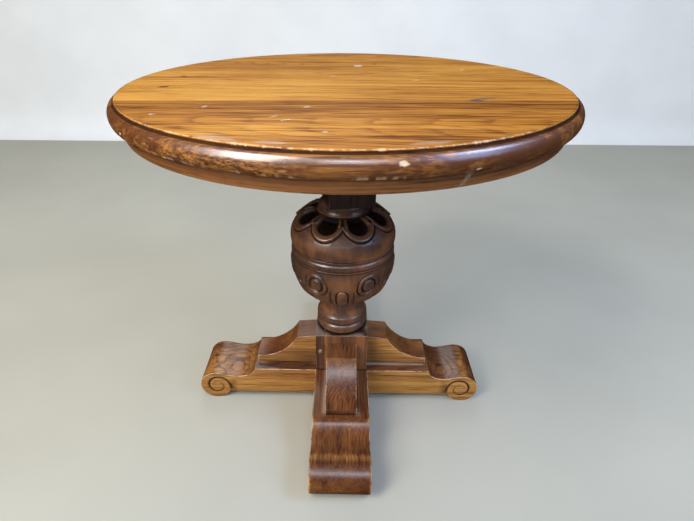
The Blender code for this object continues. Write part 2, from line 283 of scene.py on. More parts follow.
def srgb(red, green, blue):
    """A colour as the eye reads it, 0 to 255, made linear."""
    return tuple((value / 255) ** 2.2 for value in (red, green, blue))


def oak(
    name,
    along="X",
    pith=(-0.2, -0.06),
    slope=0.0,
    rings=0.006,
    pore=(0.05, 0.02, 0.01),
    grime_and_shade=(0.02, 0.01, 0.008),
    worn=(0.6, 0.4, 0.22),
    shade_and_sheen_tint=None,
    roughness=0.35,
    gloss=0.3,
    contrast=1.0,
    knots=(),
    offset=0.0,
    relief=0.00012,
    wander=0.03,
    figure=1.0,
    marked=True,
    *,
    light,
    middle,
    dark,
):
    """Stained and varnished oak. The rings are cylinders round the pith, which runs with the grain.

    along is the axis of the grain, pith its place across it, and slope how fast the board leaves it.
    knots are (x, y, reach, lift) of places that the rings bend round.
    """
    w = Wood(name)
    place = w.node("TexCoord").outputs["Object"]
    if along == "RING":
        place = w.node("Attribute", attribute_name="ring").outputs["Vector"]
    xyz = w.node("SeparateXYZ", {0: place}).outputs
    order = {"X": (0, 1, 2), "Y": (1, 0, 2), "Z": (2, 0, 1), "RING": (0, 1, 2)}[along]
    parts = {"X": w.add(xyz[order[0]], offset), "Y": xyz[order[1]], "Z": xyz[order[2]]}
    grain = w.node("CombineXYZ", parts).outputs[0]
    cloud = w.node("TexNoise", {"Vector": w.scaled(grain, (1.3, 6, 6)), "Scale": 1.0, "Detail": 1.0})
    sway = w.node("SeparateColor", {0: cloud.outputs["Color"]}).outputs
    side = w.add(w.less(parts["Y"], pith[0]), w.times(w.less(sway[0], 0.5), wander))
    deep = w.add(w.less(parts["Z"], pith[1]), w.times(parts["X"], slope))
    deep = w.add(deep, w.times(w.less(sway[1], 0.5), wander))
    away = w.math("SQRT", w.add(w.times(side, side), w.times(deep, deep)))
    for x, y, reach, lift in knots:
        across = w.times(w.less(parts["Y"], y), 2.6)
        length = w.less(parts["X"], x + offset)
        square = w.add(w.times(across, across), w.times(length, length))
        swell = w.band(w.math("SQRT", square), reach, 0.0)
        away = w.add(away, w.times(swell, lift))
    uneven = w.noise(grain, (1.0, 30, 30), 3.0)
    turns = w.add(w.math("DIVIDE", away, rings), w.times(uneven, 2.4))
    phase = w.math("FRACT", turns)
    early = w.band(phase, 0.40, 0.0)
    early = w.times(early, w.band(phase, 0.0, 0.07))
    early = w.times(early, w.less(1.0, w.mark("calm")))
    years = w.noise(w.node("CombineXYZ", {"X": w.math("FLOOR", turns)}).outputs[0], (0.77, 1, 1), 0.0)
    fibre = w.noise(grain, (7, 330, 330), 3.0, 0.7)
    lines = w.band(w.noise(grain, (10, 250, 250), 2.0, 0.6), 0.54, 0.62)
    veins = w.band(w.noise(grain, (6, 105, 105), 3.0, 0.6), 0.56, 0.63)
    pores = w.band(w.noise(grain, (42, 900, 900), 2.0, 0.6), 0.50, 0.62)
    pores = w.times(pores, w.add(w.times(early, 0.8), 0.2))
    blotch = w.noise(grain, (3.5, 14, 14), 3.0, 0.55)
    streak = w.noise(grain, (1.4, 75, 75), 2.0, 0.5)
    tone = w.times(early, -0.36 * contrast * figure)
    for layer, strength in ((years, 0.22), (fibre, 0.75), (streak, 0.70), (blotch, 0.8)):
        tone = w.add(tone, w.times(w.less(layer, 0.5), strength * contrast))
    for layer, strength in ((lines, 0.26), (veins, 0.22)):
        tone = w.less(tone, w.times(layer, strength * contrast))
    tone = w.add(tone, w.add(w.mark("tone"), 0.70))
    color = w.ramp(tone, [(0.0, dark), (0.5, middle), (1.0, light)])
    color = w.mix(w.times(pores, 0.55), color, (*pore, 1))
    # Painted shade and a painted bluish sheen: up-facing faces, and the places marked for it, get a darker
    # purple-grey tint, taken off again where marked on the scroll crests.
    if shade_and_sheen_tint:
        facing = w.node("SeparateXYZ", {0: w.node("NewGeometry").outputs["Normal"]}).outputs[2]
        stain = w.math("MAXIMUM", w.band(facing, 0.35, 0.85), w.mark("stain"))
        stain = w.times(stain, w.less(1.0, w.mark("rubbed")))
        stain = w.times(stain, w.band(blotch, 0.75, 0.35, 0.82, 1.0))
        color = w.mix(stain, color, w.mix(0.95, color, (*shade_and_sheen_tint, 1), "MULTIPLY"))
    # The dark mark paints dirt, dark joints, knots and nail marks, and also painted shade in grooves, creases
    # and under overhangs.
    color = w.mix(w.mark("dark"), color, (*grime_and_shade, 1))
    color = w.mix(w.mark("worn"), color, w.mix(w.times(fibre, 0.6), (*worn, 1), (*middle, 1)))
    color = w.mix(w.mark("dust"), color, (*srgb(206, 192, 174), 1))
    color = w.mix(w.mark("ink"), color, (*srgb(78, 82, 84), 1))
    w.feed("Base Color", color)
    rough = w.add(w.times(fibre, 0.16), roughness - 0.08)
    rough = w.add(rough, w.times(w.add(w.mark("worn"), w.mark("dark")), 0.22))
    rough = w.add(rough, w.times(w.mark("dust"), 0.3))
    rough = w.less(rough, w.times(w.mark("shine"), 0.03))
    w.feed("Roughness", rough)
    height = w.less(w.times(fibre, 0.35), w.times(pores, 0.8))
    height = w.less(height, w.times(early, 0.25))
    normal = w.node("Bump", {"Height": height, "Distance": relief, "Strength": 1.0}).outputs["Normal"]
    w.feed("Normal", normal)
    # Unmarked wood has one gloss all over. Elsewhere it follows the marks: darkened places have none.
    w.shader.inputs["Specular IOR Level"].default_value = gloss
    if not marked:
        return w.material
    shine = w.add(w.times(w.mark("shine"), 1.7), gloss)
    shine = w.times(shine, w.less(1.0, w.times(w.mark("dark"), 0.9)))
    w.feed("Specular IOR Level", shine)
    return w.material


def steel(name):
    """Dull zinc-plated steel with a spangle and a little brown in it."""
    w = Wood(name)
    place = w.node("TexCoord").outputs["Object"]
    spangle = w.noise(place, (260, 260, 260), 3.0, 0.6)
    fine = w.noise(place, (1800, 1800, 1800), 2.0)
    greys = [(0.3, srgb(96, 84, 74)), (0.5, srgb(150, 150, 150)), (0.8, srgb(182, 184, 188))]
    color = w.ramp(spangle, greys)
    w.feed("Base Color", color)
    w.feed("Roughness", w.band(spangle, 0.3, 0.7, 0.6, 0.32))
    w.feed("Normal", w.node("Bump", {"Height": fine, "Distance": 0.00005}).outputs["Normal"])
    w.shader.inputs["Metallic"].default_value = 1.0
    return w.material


TOP_LOOK = {
    "rings": 0.0042,
    "light": srgb(224, 162, 72),
    "middle": srgb(184, 120, 50),
    "dark": srgb(104, 60, 30),
    "pore": srgb(96, 56, 32),
    "grime_and_shade": srgb(52, 32, 28),
    "worn": srgb(236, 208, 168),
    "roughness": 0.34,
    "gloss": 0.30,
    "contrast": 1.2,
    "figure": 0.45,
    "wander": 0.016,
}
FRONT_OAK = oak("front_board_oak", pith=(-0.245, 0.44), slope=-0.06, **TOP_LOOK)
MIDDLE_KNOT = (-0.273, -0.035, 0.085, 0.03)
MIDDLE_OAK = oak("middle_board_oak", "X", (0.09, 0.47), -0.05, offset=1.7, knots=[MIDDLE_KNOT], **TOP_LOOK)
BACK_OAK = oak("back_board_oak", pith=(0.34, 0.46), slope=0.05, offset=3.1, **TOP_LOOK)
EDGE_LOOK = {
    "light": srgb(164, 110, 60),
    "middle": srgb(128, 82, 48),
    "dark": srgb(72, 44, 32),
    "grime_and_shade": srgb(40, 24, 22),
    "worn": srgb(205, 160, 100),
    "rings": 0.004,
    "roughness": 0.38,
    "gloss": 0.4,
    "contrast": 0.8,
    "wander": 0.008,
}
RIM_OAK = oak("rim_oak", "RING", (0.2, 0.3), **EDGE_LOOK)
COLUMN_OAK = oak(
    "column_oak",
    along="Z",
    pith=(0.03, 0.02),
    rings=0.004,
    light=srgb(156, 98, 56),
    middle=srgb(96, 68, 52),
    dark=srgb(54, 43, 42),
    pore=srgb(40, 30, 26),
    grime_and_shade=srgb(20, 15, 14),
    worn=srgb(178, 108, 52),
    roughness=0.32,
    gloss=1.1,
    contrast=0.6,
    wander=0.008,
)
BLOCK_OAK = oak(
    "block_oak",
    along="Z",
    pith=(0.02, 0.12),
    rings=0.004,
    light=srgb(152, 100, 60),
    middle=srgb(114, 74, 50),
    dark=srgb(64, 42, 34),
    grime_and_shade=srgb(34, 22, 20),
    worn=srgb(190, 140, 96),
    # Painted shade on the up-facing faces
    shade_and_sheen_tint=srgb(112, 92, 96),
    roughness=0.36,
    gloss=0.5,
    wander=0.01,
)
FOOT_LOOK = {
    "light": srgb(212, 156, 80),
    "middle": srgb(160, 108, 56),
    "dark": srgb(86, 52, 34),
    "pore": srgb(60, 34, 20),
    "grime_and_shade": srgb(38, 24, 20),
    "worn": srgb(222, 184, 140),
    # Painted shade with a painted bluish sheen, for the up-facing faces
    "shade_and_sheen_tint": srgb(144, 114, 118),
    "rings": 0.0034,
    "roughness": 0.31,
    "gloss": 0.95,
    "wander": 0.010,
    "contrast": 1.05,
}
SIDE_OAK = oak("side_runner_oak", pith=(-0.02, -0.13), slope=0.05, **FOOT_LOOK)
LONG_OAK = oak("long_runner_oak", along="Y", pith=(0.20, -0.14), slope=-0.03, offset=0.7, **FOOT_LOOK)
BRACKET_OAK_X = oak("side_bracket_oak", pith=(0.10, -0.05), offset=1.2, **FOOT_LOOK)
BRACKET_OAK_Y = oak("long_bracket_oak", along="Y", pith=(0.09, -0.04), offset=2.2, **FOOT_LOOK)
RAW_LOOK = {
    "light": srgb(206, 178, 134),
    "middle": srgb(178, 144, 98),
    "dark": srgb(126, 96, 62),
    "pore": srgb(96, 70, 44),
    "roughness": 0.7,
    "gloss": 0.25,
    "marked": False,
}
BEARER_OAK_X = oak("bearer_oak", pith=(0.1, 0.5), **RAW_LOOK)
BEARER_OAK_Y = oak("cross_bearer_oak", along="Y", pith=(0.1, 0.5), offset=0.4, **RAW_LOOK)
BEECH = oak("beech", along="Y", pith=(0.2, 0.2), rings=0.002, contrast=0.4, **RAW_LOOK)
STEEL = steel("zinc_steel")

# ---------------------------------------------------------------- the top


def edge_profile():
    """The top in section, from its centre over the moulded edge to the underside's centre."""
    nose = (TOP_RADIUS - 0.0095, TOP_UNDERSIDE + 0.0135)
    flat = refine([(0.002, TOP_HEIGHT), (FLAT_RADIUS - 0.012, TOP_HEIGHT)], 0.0036)
    arris = [
        (FLAT_RADIUS - 0.012, TOP_HEIGHT),
        (FLAT_RADIUS - 0.0012, TOP_HEIGHT),
        (FLAT_RADIUS - 0.0003, TOP_HEIGHT - 0.0004),
        (FLAT_RADIUS, TOP_HEIGHT - 0.0013),
        (FLAT_RADIUS + 0.0003, TOP_HEIGHT - 0.0044),
        (FLAT_RADIUS + 0.0012, TOP_HEIGHT - 0.0050),
        (FLAT_RADIUS + 0.0024, TOP_HEIGHT - 0.0050),
        *arc(nose, (0.0095, 0.0135), 76, -90, 26),
    ]
    under = refine([(TOP_RADIUS - 0.0095, TOP_UNDERSIDE), (0.002, TOP_UNDERSIDE)], 0.03)
    return np.vstack([flat[:-1], refine(arris, 0.0011)[:-1], under])


def spot(x, y, place, size, turn):
    """1 inside an ellipse of half-sizes size at place, turned by some degrees and fading at its edge."""
    angle = math.radians(turn)
    along = (x - place[0]) * math.cos(angle) + (y - place[1]) * math.sin(angle)
    across = -(x - place[0]) * math.sin(angle) + (y - place[1]) * math.cos(angle)
    return step(np.hypot(along / size[0], across / size[1]), 1.0, 0.55)


def spots(x, y, places):
    """The strongest of several such spots."""
    return np.max([spot(x, y, *place) for place in places], axis=0)


KNOTS = [((-0.273, -0.037), (0.010, 0.007), 10), ((-0.268, 0.052), (0.006, 0.006), 0)]
NAILS = [(-0.205, 0.197), (-0.177, 0.198), (-0.146, 0.189)]
NAILS += [(-0.115, 0.188), (-0.081, 0.187), (0.055, 0.19)]
NAIL_MARKS = [(place, (0.0075, 0.0045), 12 + 9 * index) for index, place in enumerate(NAILS)]
SCUFFS = [
    ((0.024, 0.170), (0.011, 0.010), 25),
    ((-0.180, -0.163), (0.0035, 0.004), 0),
    ((-0.048, -0.161), (0.006, 0.0028), 0),
    ((-0.068, -0.227), (0.010, 0.002), 32),
    ((-0.020, -0.277), (0.0035, 0.0035), 0),
    ((-0.085, -0.212), (0.010, 0.0015), 50),
    ((0.115, 0.03), (0.006, 0.003), 0),
    ((-0.02, 0.06), (0.008, 0.0022), 60),
    ((0.21, 0.135), (0.004, 0.004), 0),
    ((-0.235, -0.205), (0.004, 0.003), 0),
]
# Pale patches near the front edge: painted reflections.
PAINTED_GLARE = [
    ((-0.135, -0.303), (0.034, 0.008), -22),
    ((-0.075, -0.318), (0.022, 0.007), -10),
    ((0.09, -0.315), (0.03, 0.006), 14),
]
INK = [((0.180, -0.1175), (0.013, 0.010), 0), ((0.198, -0.103), (0.026, 0.0045), 20)]
# Azimuth in degrees, depth below the top, and size
NOSE_CHIPS = [
    (10, 0.0120, 0.0055),
    (-28, 0.0305, 0.004),
    (-51, 0.020, 0.0035),
    (-35, 0.028, 0.003),
    (24, 0.026, 0.003),
]


def mark_top(at):
    """(how far each point of the top is dented, its marks) at an array of points."""
    x, y, z = at.T
    radius = np.hypot(x, y)
    azimuth = np.degrees(np.arctan2(x, -y))
    around = np.radians(azimuth) * EDGE_RADIUS
    front = step(np.abs(azimuth), 128, 50)
    down = TOP_HEIGHT - z
    past = radius - FLAT_RADIUS
    flat = step(z, TOP_HEIGHT - 0.0006, TOP_HEIGHT - 0.0001) * step(past, 0, -0.002)
    local = y * math.cos(TOP_TURN) - x * math.sin(TOP_TURN)
    joint, back_joint = (np.abs(local - limit) for limit in BOARD_JOINTS)
    dark = strongest(
        flat * 0.45 * step(joint, 0.0030, 0.0004),
        flat * 0.35 * step(back_joint, 0.0030, 0.0004),
        0.85 * flat * spots(x, y, KNOTS),
        0.55 * flat * spots(x, y, NAIL_MARKS),
    )
    scratch = field([x * 14 + y * 60, y * 420 + x * 90], 3.0)
    grainy = 0.4 + 0.6 * field([x * 70, y * 500], 9.0)
    # Pale scuffs and scratches, and painted reflections near the front edge.
    dust = strongest(
        0.85 * flat * spots(x, y, SCUFFS),
        0.35 * flat * step(scratch, 0.93, 0.99),
        0.42 * grainy * flat * spots(x, y, PAINTED_GLARE),
    )
    broken = step(field([x * 160, y * 260], 4.0), 0.15, 0.45)
    ink = 0.95 * flat * broken * spots(x, y, INK)
    # The arris: bare and chipped round the front, and painted paler where it is lit, as a painted highlight,
    # with small dark gaps.
    chips = field([around * 240], 1.0) * 0.55 + field([around * 900], 2.0) * 0.45
    bite = step(chips, 0.62, 0.82) * step(np.abs(azimuth), 80, 30)
    band = step(past, -0.0010 - 0.0030 * bite, -0.0003) * step(down, 0.0014 + 0.0016 * bite, 0.0004)
    lit = 0.10 + 0.80 * step(azimuth, -60, -18) * step(azimuth, 48, 20)
    worn = band * step(chips, 0.34, 0.56) * lit
    nibbles = field([around * 330], 12.0) * 0.5 + field([around * 800], 13.0) * 0.5
    nibble = flat * step(nibbles, 0.55, 0.7) * step(past, -0.0042, -0.0020) * (1 - worn)
    dark = strongest(dark, 0.8 * nibble * step(azimuth, -25, -55), 0.5 * nibble * step(azimuth, 30, 60))
    # The quirk below it is painted dark, as shade.
    quirk = step(down, 0.0008, 0.0022) * step(past, 0.0056, 0.0024) * step(past, -0.0003, 0.0001)
    dark = strongest(dark, 0.93 * quirk * (1 - worn))
    # The bullnose: speckled dents, and chips along its lower edge.
    nose = step(past, 0.003, 0.005)
    coarse = field([around * 210, down * 260], 5.0)
    fine = field([around * 620, down * 620], 6.0)
    battered = step(azimuth, -112, -70) * step(azimuth, 6, -20)
    grit = fine * (0.55 + 0.45 * battered) + 0.16 * coarse
    specks = nose * step(down, 0.012, 0.017) * step(grit, 0.72, 0.84)
    dark = strongest(dark, 0.75 * specks)
    low = bump(down, 0.0285, 0.0045)
    low_chips = field([around * 170], 7.0) * 0.7 + field([around * 520], 8.0) * 0.3
    left = step(azimuth, 30, 5)
    worn = strongest(worn, nose * low * step(low_chips, 0.58, 0.74) * (0.12 + 0.45 * front * left))
    dent = 0.0004 * specks + 0.0006 * nose * low * step(low_chips, 0.56, 0.74)
    for middle, depth, size in NOSE_CHIPS:
        beside = np.radians(azimuth - middle) * EDGE_RADIUS
        off = np.hypot(beside / size, (down - depth) / (size * 0.62))
        chip = nose * step(off + 0.5 * (fine - 0.5), 1.0, 0.7)
        worn = strongest(worn, chip)
        dent += 0.0009 * chip
    lines = field([around * 60 + down * 900, down * 60 - around * 45], 11.0)
    worn = strongest(worn, 0.55 * nose * battered * step(lines, 0.9, 0.97) * step(down, 0.008, 0.012))
    # The edge was stained darker than the flat. The front board is browner, the middle one paler at its left.
    tone = -0.64 * nose + 0.22 * nose * (coarse - 0.5)
    tone += 0.16 * nose * battered * step(down, 0.010, 0.016)
    is_front = local < BOARD_JOINTS[0]
    is_back = local > BOARD_JOINTS[1]
    face = 1 - nose
    browner = 0.12 + 0.09 * step(joint, 0.10, 0.0) + 0.08 * step(x, -0.15, 0.15)
    tone -= face * np.where(is_front, browner, 0.0)
    tone += face * np.where(is_back, 0.02, 0.0)
    middle_left = np.where(is_front | is_back, 0, step(x, 0.10, -0.25))
    tone += face * middle_left * (0.12 + 0.16 * step(joint, 0.05, 0.0))
    tone += face * np.where(is_front | is_back, 0, 0.06 * step(joint, 0.07, 0.0))
    tone -= 0.08 * face * step(np.hypot(x - 0.02, y - 0.27), 0.20, 0.05)
    marks = {"tone": tone, "dark": np.clip(dark, 0, 1), "worn": np.clip(worn, 0, 1)}
    marks |= {"dust": dust, "ink": ink, "calm": 0.9 * nose, "shine": nose}
    return dent + 0.0009 * worn * band, marks


def board_mesh(whole, low, high):
    """The part of the turned top between two joints, its sawn faces closed."""
    bm = whole.copy()
    turn = Matrix.Rotation(TOP_TURN, 3, "Z")
    across = turn @ Vector((0, 1, 0))
    for limit, outward in ((low, -1), (high, 1)):
        if limit is None:
            continue
        slice_mesh(bm, across * (limit - outward * GAP / 2), across * outward, clear_outer=True)
        bmesh.ops.holes_fill(bm, edges=[e for e in bm.edges if e.is_boundary], sides=0)
    return unpack(bm)


def make_top():
    points, faces, _ = lathe(edge_profile(), 1080)
    mesh = bpy.data.meshes.new("whole_top")
    mesh.from_pydata(points.reshape(-1, 3).tolist(), [], faces)
    whole = bmesh.new()
    whole.from_mesh(mesh)
    limits = [None, *BOARD_JOINTS, None]
    looks = {"front": FRONT_OAK, "middle": MIDDLE_OAK, "back": BACK_OAK}
    for (name, material), low, high in zip(looks.items(), limits, limits[1:]):
        at, sides = board_mesh(whole, low, high)
        dent, marks = mark_top(at)
        radius = np.maximum(np.hypot(at[:, 0], at[:, 1]), 0.01)
        at[:, :2] *= (1 - dent / radius)[:, None]
        at[:, 2] -= 0.6 * dent * (at[:, 2] > TOP_HEIGHT - 0.003)
        piece(f"{name}_board", at, sides, material, [f"top_board_{name}"], marks, SHARP)
    whole.free()
    bpy.data.meshes.remove(mesh)


def make_rim():
    """The build-up ring under the edge: eight mitred blocks with a small round on the lower arris.

    The first lies on +X, and the rest follow anticlockwise, seen from above.
    """
    half = math.pi / RIM_COUNT
    section = [
        (0.3370, RIM_HIGH),
        (0.3372, RIM_HIGH - 0.004),
        (0.3345, RIM_LOW + 0.007),
        (0.3330, RIM_LOW + 0.0022),
        (0.3322, RIM_LOW + 0.0006),
        (0.3310, RIM_LOW),
    ]
    section = refine(section, 0.0015)
    count = 90
    for index in range(RIM_COUNT):
        middle = 2 * half * index
        out = np.array([math.cos(middle), math.sin(middle)])
        across = np.array([-out[1], out[0]])
        angle = half * np.linspace(-1, 1, count)
        ends = (GAP / 2) * -np.linspace(-1, 1, count)
        rows = []
        for radius, z in section:
            aside = radius * np.sin(angle) + ends
            flat = radius * np.cos(angle)[:, None] * out + aside[:, None] * across
            rows.append(np.column_stack([flat, np.full(count, z)]))
        side = np.sin(angle[[0, -1]]) * RIM_INSIDE / np.cos(half) + ends[[0, -1]]
        back = RIM_INSIDE * out + side[:, None] * across
        points = np.vstack(rows)
        grid = np.arange(len(points)).reshape(len(rows), count)
        quads = np.stack([grid[:-1, :-1], grid[1:, :-1], grid[1:, 1:], grid[:-1, 1:]], axis=2)
        faces = quads.reshape(-1, 4).tolist()
        first = len(points)
        corners = [[*back[0], RIM_HIGH], [*back[1], RIM_HIGH], [*back[0], RIM_LOW], [*back[1], RIM_LOW]]
        points = np.vstack([points, corners])
        top_left, top_right, low_left, low_right = range(first, first + 4)
        faces += [
            [*grid[0], top_right, top_left],
            [*grid[-1][::-1], low_left, low_right],
            [top_left, low_left, *grid[::-1, 0]],
            [top_right, *grid[:, -1], low_right],
            [top_left, top_right, low_right, low_left],
        ]
        x, y, z = points.T
        arc_length = np.arctan2(x, -y) * RIM_RADIUS
        low = step(z, RIM_LOW + 0.003, RIM_LOW)
        flecks = field([arc_length * 120, z * 400], 21.0)
        chip = low * step(field([arc_length * 180], 22.0), 0.62, 0.8)
        drip = bump(arc_length, 0.128 + (z - RIM_LOW) * 0.5, 0.004) * step(z, RIM_LOW, RIM_LOW + 0.004)
        marks = {
            "tone": -0.12 + 0.16 * (flecks - 0.5) + 0.12 * step(z, RIM_LOW + 0.012, RIM_LOW),
            # Painted shade along the top, under the nose's overhang.
            "dark": 0.7 * step(z, RIM_HIGH - 0.003, RIM_HIGH),
            "worn": 0.45 * chip,
            "dust": 0.3 * np.clip(drip, 0, 1),
            "calm": np.full(len(points), 0.6),
            "ring": np.column_stack([arc_length, np.hypot(x, y) - RIM_RADIUS, z]),
        }
        node = f"rim_segment_{index + 1}"
        piece(f"rim_block_{index + 1}", points, faces, RIM_OAK, [node], marks, SHARP)


# ---------------------------------------------------------------- the column

COVER_TOP = 0.4073
PETAL = 2 * math.pi / 8
ROUND = 2 * math.pi / 6
WAIST_RING = 0.3355
# Heights and half-widths, and how strongly a ring is rubbed
GROOVES = [(0.3460, 0.0011), (0.3426, 0.0011), (0.3272, 0.0008), (0.3241, 0.0011), (0.1834, 0.0016)]
RUBBED_RINGS = [(WAIST_RING, 0.006, 0.25), (0.3449, 0.0006, 0.8)]
RUBBED_RINGS += [(0.3256, 0.0006, 0.6), (0.3500, 0.0030, 0.9)]


def column_profile():
    """The column in section, its points refined to a set spacing on each stretch."""
    cover = (0.045, 0.361)
    depth = 0.050
    collar = [
        (0.0410, COLLAR_TOP),
        (0.0425, COLLAR_TOP - 0.0020),
        (0.0432, COLLAR_TOP - 0.0080),
        (0.0446, COLLAR_TOP - 0.0120),
        (0.0462, COLLAR_TOP - 0.0138),
        (0.0462, COLLAR_TOP - 0.0150),
        (0.0450, COLLAR_TOP - 0.0158),
        (0.0456, COVER_TOP),
    ]
    cover_side = arc(cover, (depth, 0.0458), 84, -16.5, 30)
    waist = [
        (0.0918, 0.3474),
        (0.0880, 0.3464),
        (0.0882, 0.3456),
        (0.0908, 0.3450),
        (0.0912, 0.3440),
        (0.0880, 0.3428),
        (0.0886, 0.3420),
        *arc((0.0885, 0.3345), (0.0057, 0.0070), 80, -62, 10),
        (0.0896, 0.3276),
        (0.0898, 0.3268),
        (0.0922, 0.3262),
        (0.0930, 0.3254),
        (0.0908, 0.3244),
        (0.0910, 0.3238),
    ]
    cup = arc((0.0485, 0.3157), (0.0465, 0.0766), 5.5, -86, 44)
    neck = [
        (0.0436, 0.2378),
        (0.0424, 0.2340),
        (0.0422, 0.2115),
        *arc((0.0590, 0.212), (0.0167, 0.022), 185, 226, 6),
        (0.0478, 0.1925),
        (0.0482, 0.1890),
        (0.0474, 0.1862),
        (0.0446, 0.1842),
        (0.0444, 0.1828),
        *arc((0.0405, COLUMN_FOOT + 0.0098), (0.0072, 0.0098), 62, -90, 14),
    ]
    return np.vstack(
        [
            refine(collar, 0.0012)[:-1],
            refine(cover_side, 0.0008),
            refine(waist, 0.0008),
            refine(cup, 0.0008),
            refine(neck, 0.0015),
        ]
    )


def carve_cover(angle, radius, run):
    """(height, dark, worn) of the eight petals. run is the distance down from the collar."""
    off = nearest(angle, PETAL / 2, PETAL)
    half = radius * PETAL / 2
    side = off * radius
    # A petal is a band down to its middle and round below it, and so is the smaller hollow in it.
    middle, size = 0.0195, 0.0305
    below = np.maximum(run - middle, 0)
    beside = np.abs(side) / np.minimum(half, size)
    share = np.where(run < middle, beside, np.hypot(side, below) / size)
    hollow_below = np.maximum(run - 0.0165, 0)
    narrow = np.clip(half / 0.030, 0.4, 1)
    hollow = np.hypot(side / narrow, hollow_below) / 0.0205
    active = step(run, 0.0, 0.003) * step(run, 0.060, 0.052)
    scoop = np.where(hollow < 1, np.sqrt(np.clip(1 - hollow**2, 0, 1)), 0)
    edge = step(hollow, 1.04, 0.90)
    lip = step(share, 0.965, 0.90) * (1 - edge)
    crown = lip * bump(share, 0.84, 0.24)
    outline = bump(share, 0.99, 0.060)
    between = bump(np.abs(side) / half, 1.0, 0.055) * step(run, 0.026, 0.019)
    slot = bump(np.abs(side) / half, 0.90, 0.06) * step(run, 0.024, 0.017)
    height = -0.0012 * edge - 0.0044 * scoop**0.8 + 0.0022 * crown - 0.0026 * outline + 0.0004 * lip
    height += 0.0012 * between - 0.0016 * slot
    under = step(share, 1.03, 1.10) * step(run, 0.058, 0.050) * step(np.abs(side) / half, 0.42, 0.62)
    waves = 2 * math.pi / 0.0026
    hatch = (np.sin((side + run) * waves) + np.sin((side - run) * waves)) * 0.5
    height += -0.0006 * under + 0.00035 * under * hatch
    crossed = 0.4 * under * (0.5 - 0.5 * hatch)
    # The hollows, outlines, slots and hatching are painted dark, as shade.
    dark = strongest(0.92 * edge + 0.08 * scoop, 0.95 * outline, 0.8 * slot, crossed)
    low = step(run, 0.048, 0.062)
    worn = 0.30 * crown + 0.5 * low + 0.15 * under
    return height * active, dark * step(run, 0.060, 0.052), worn * np.where(run < 0.052, active, 1)


def carve_cup(angle, radius, run):
    """(height, dark, worn) of the rounds and tongues: run is the distance down the cup from its rim."""
    tongue_side = nearest(angle, 0.0, ROUND) * radius
    round_side = nearest(angle, ROUND / 2, ROUND) * radius
    # Rounds: a button in a strap, open at one side.
    centre = 0.0270
    away = np.hypot(round_side, (run - centre) * 0.92)
    twist = np.arctan2(run - centre, -round_side * np.sign(nearest(angle, 0.0, 2 * math.pi)))
    button = step(away, 0.0112, 0.0094)
    dome = button * np.sqrt(np.clip(1 - (away / 0.0120) ** 2, 0, 1))
    moat = bump(away, 0.0132, 0.0032)
    opening = bump(twist, -2.2, 0.7)
    strap = bump(away, 0.0178, 0.0042) * (1 - 0.8 * opening)
    deeper = 0.65 + 0.35 * step(np.sin(twist), -0.5, 0.3)
    outer = bump(away, 0.0222, 0.0023) * (1 - 0.75 * opening) * deeper
    height = 0.0013 * dome - 0.0030 * moat + 0.0014 * strap - 0.0026 * outer
    # The moats and outer rings are painted dark, as shade.
    dark = strongest(0.85 * moat, 0.9 * outer)
    worn = 0.35 * strap + 0.45 * button
    # Tongues: an arched leaf rising from the neck, with a gouge down each side.
    arch = 0.0350
    climb = np.maximum(arch + 0.0095 - run, 0)
    width = 0.0098 * np.clip(radius / 0.085, 0.55, 1)
    share = np.hypot(tongue_side, climb) / width
    inside = step(share, 0.92, 0.82)
    groove = bump(share, 1.10, 0.20)
    belly = inside * (0.4 + 0.6 * bump(share, 0.0, 0.9))
    cap = inside * bump(run, arch + 0.0030, 0.006)
    height += 0.0011 * belly - 0.0027 * groove + 0.0005 * cap
    # Painted shade in the grooves round the tongues and in the gouges.
    dark = strongest(dark, 0.9 * groove)
    worn = strongest(worn, 0.30 * inside + 0.35 * cap)
    gouge = bump(np.abs(tongue_side), width * 2.15, 0.0016) * step(run, arch - 0.003, arch + 0.004)
    height -= 0.0020 * gouge
    dark = strongest(dark, 0.75 * gouge)
    foot = step(run, 0.088, 0.094)
    return height * (1 - foot), dark * (1 - foot), worn


